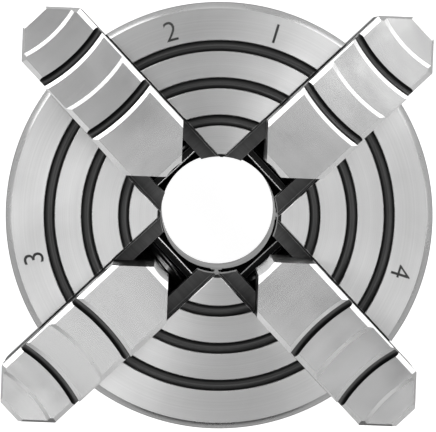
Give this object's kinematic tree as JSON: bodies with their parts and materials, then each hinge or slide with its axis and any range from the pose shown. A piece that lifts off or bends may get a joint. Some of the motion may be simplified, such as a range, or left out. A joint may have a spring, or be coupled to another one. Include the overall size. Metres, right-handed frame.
{
  "type": "lathe chuck",
  "caption": "Round four-jaw independent lathe chuck with stepped reversible jaws in radial slots, each driven by its own square-socket screw in the rim, and a grooved front face.",
  "frame": {"origin": "where the chuck's turning axis crosses the rear face that bolts to the spindle; the chuck lies on its back", "axes": "+Z along the turning axis, out of the front face towards the work; jaw 1 lies along +X, jaw 2 along +Y"},
  "size_m": [0.1054, 0.102, 0.058],
  "materials": {
    "body_metal": "bright fine-turned face and rim",
    "jaw_steel": "hardened and ground bright",
    "screw_steel": "darkened, lightly oiled machined steel",
    "fork_steel": "plain machined steel"
  },
  "bodies": {
    "housing": {"chuck_body": "body_metal", "thrust_fork_1": "fork_steel", "thrust_fork_2": "fork_steel", "thrust_fork_3": "fork_steel", "thrust_fork_4": "fork_steel", "fork_grub_screw_1": "screw_steel", "fork_grub_screw_2": "screw_steel", "fork_grub_screw_3": "screw_steel", "fork_grub_screw_4": "screw_steel"},
    "screw_1": {"operating_screw_1": "screw_steel"},
    "jaw_1": {"jaw_1": "jaw_steel"},
    "screw_2": {"operating_screw_2": "screw_steel"},
    "jaw_2": {"jaw_2": "jaw_steel"},
    "screw_3": {"operating_screw_3": "screw_steel"},
    "jaw_3": {"jaw_3": "jaw_steel"},
    "screw_4": {"operating_screw_4": "screw_steel"},
    "jaw_4": {"jaw_4": "jaw_steel"}
  },
  "joints": [
    {"name": "jaw_1_slide", "type": "slide", "parent": "housing", "child": "jaw_1", "axis": [1, 0, 0], "range_m": [-0.01095, 0.00705]},
    {"name": "screw_1_turn", "type": "hinge", "parent": "housing", "child": "screw_1", "pos_m": [0.0262, 0, 0.025], "axis": [1, 0, 0], "range_deg": [-1315, 847]},
    {"name": "jaw_2_slide", "type": "slide", "parent": "housing", "child": "jaw_2", "axis": [0, 1, 0], "range_m": [-0.01, 0.008]},
    {"name": "screw_2_turn", "type": "hinge", "parent": "housing", "child": "screw_2", "pos_m": [0, 0.0262, 0.025], "axis": [0, 1, 0], "range_deg": [-1201, 961]},
    {"name": "jaw_3_slide", "type": "slide", "parent": "housing", "child": "jaw_3", "axis": [-1, 0, 0], "range_m": [-0.01235, 0.00565]},
    {"name": "screw_3_turn", "type": "hinge", "parent": "housing", "child": "screw_3", "pos_m": [-0.0262, 0, 0.025], "axis": [-1, 0, 0], "range_deg": [-1483, 679]},
    {"name": "jaw_4_slide", "type": "slide", "parent": "housing", "child": "jaw_4", "axis": [0, -1, 0], "range_m": [-0.01, 0.008]},
    {"name": "screw_4_turn", "type": "hinge", "parent": "housing", "child": "screw_4", "pos_m": [0, -0.0262, 0.025], "axis": [0, -1, 0], "range_deg": [-1201, 961]}
  ],
  "couplings": [
    {"joint": "screw_1_turn", "follows": "jaw_1_slide", "rad_per_m": 2094.4},
    {"joint": "screw_2_turn", "follows": "jaw_2_slide", "rad_per_m": 2094.4},
    {"joint": "screw_3_turn", "follows": "jaw_3_slide", "rad_per_m": 2094.4},
    {"joint": "screw_4_turn", "follows": "jaw_4_slide", "rad_per_m": 2094.4}
  ]
}
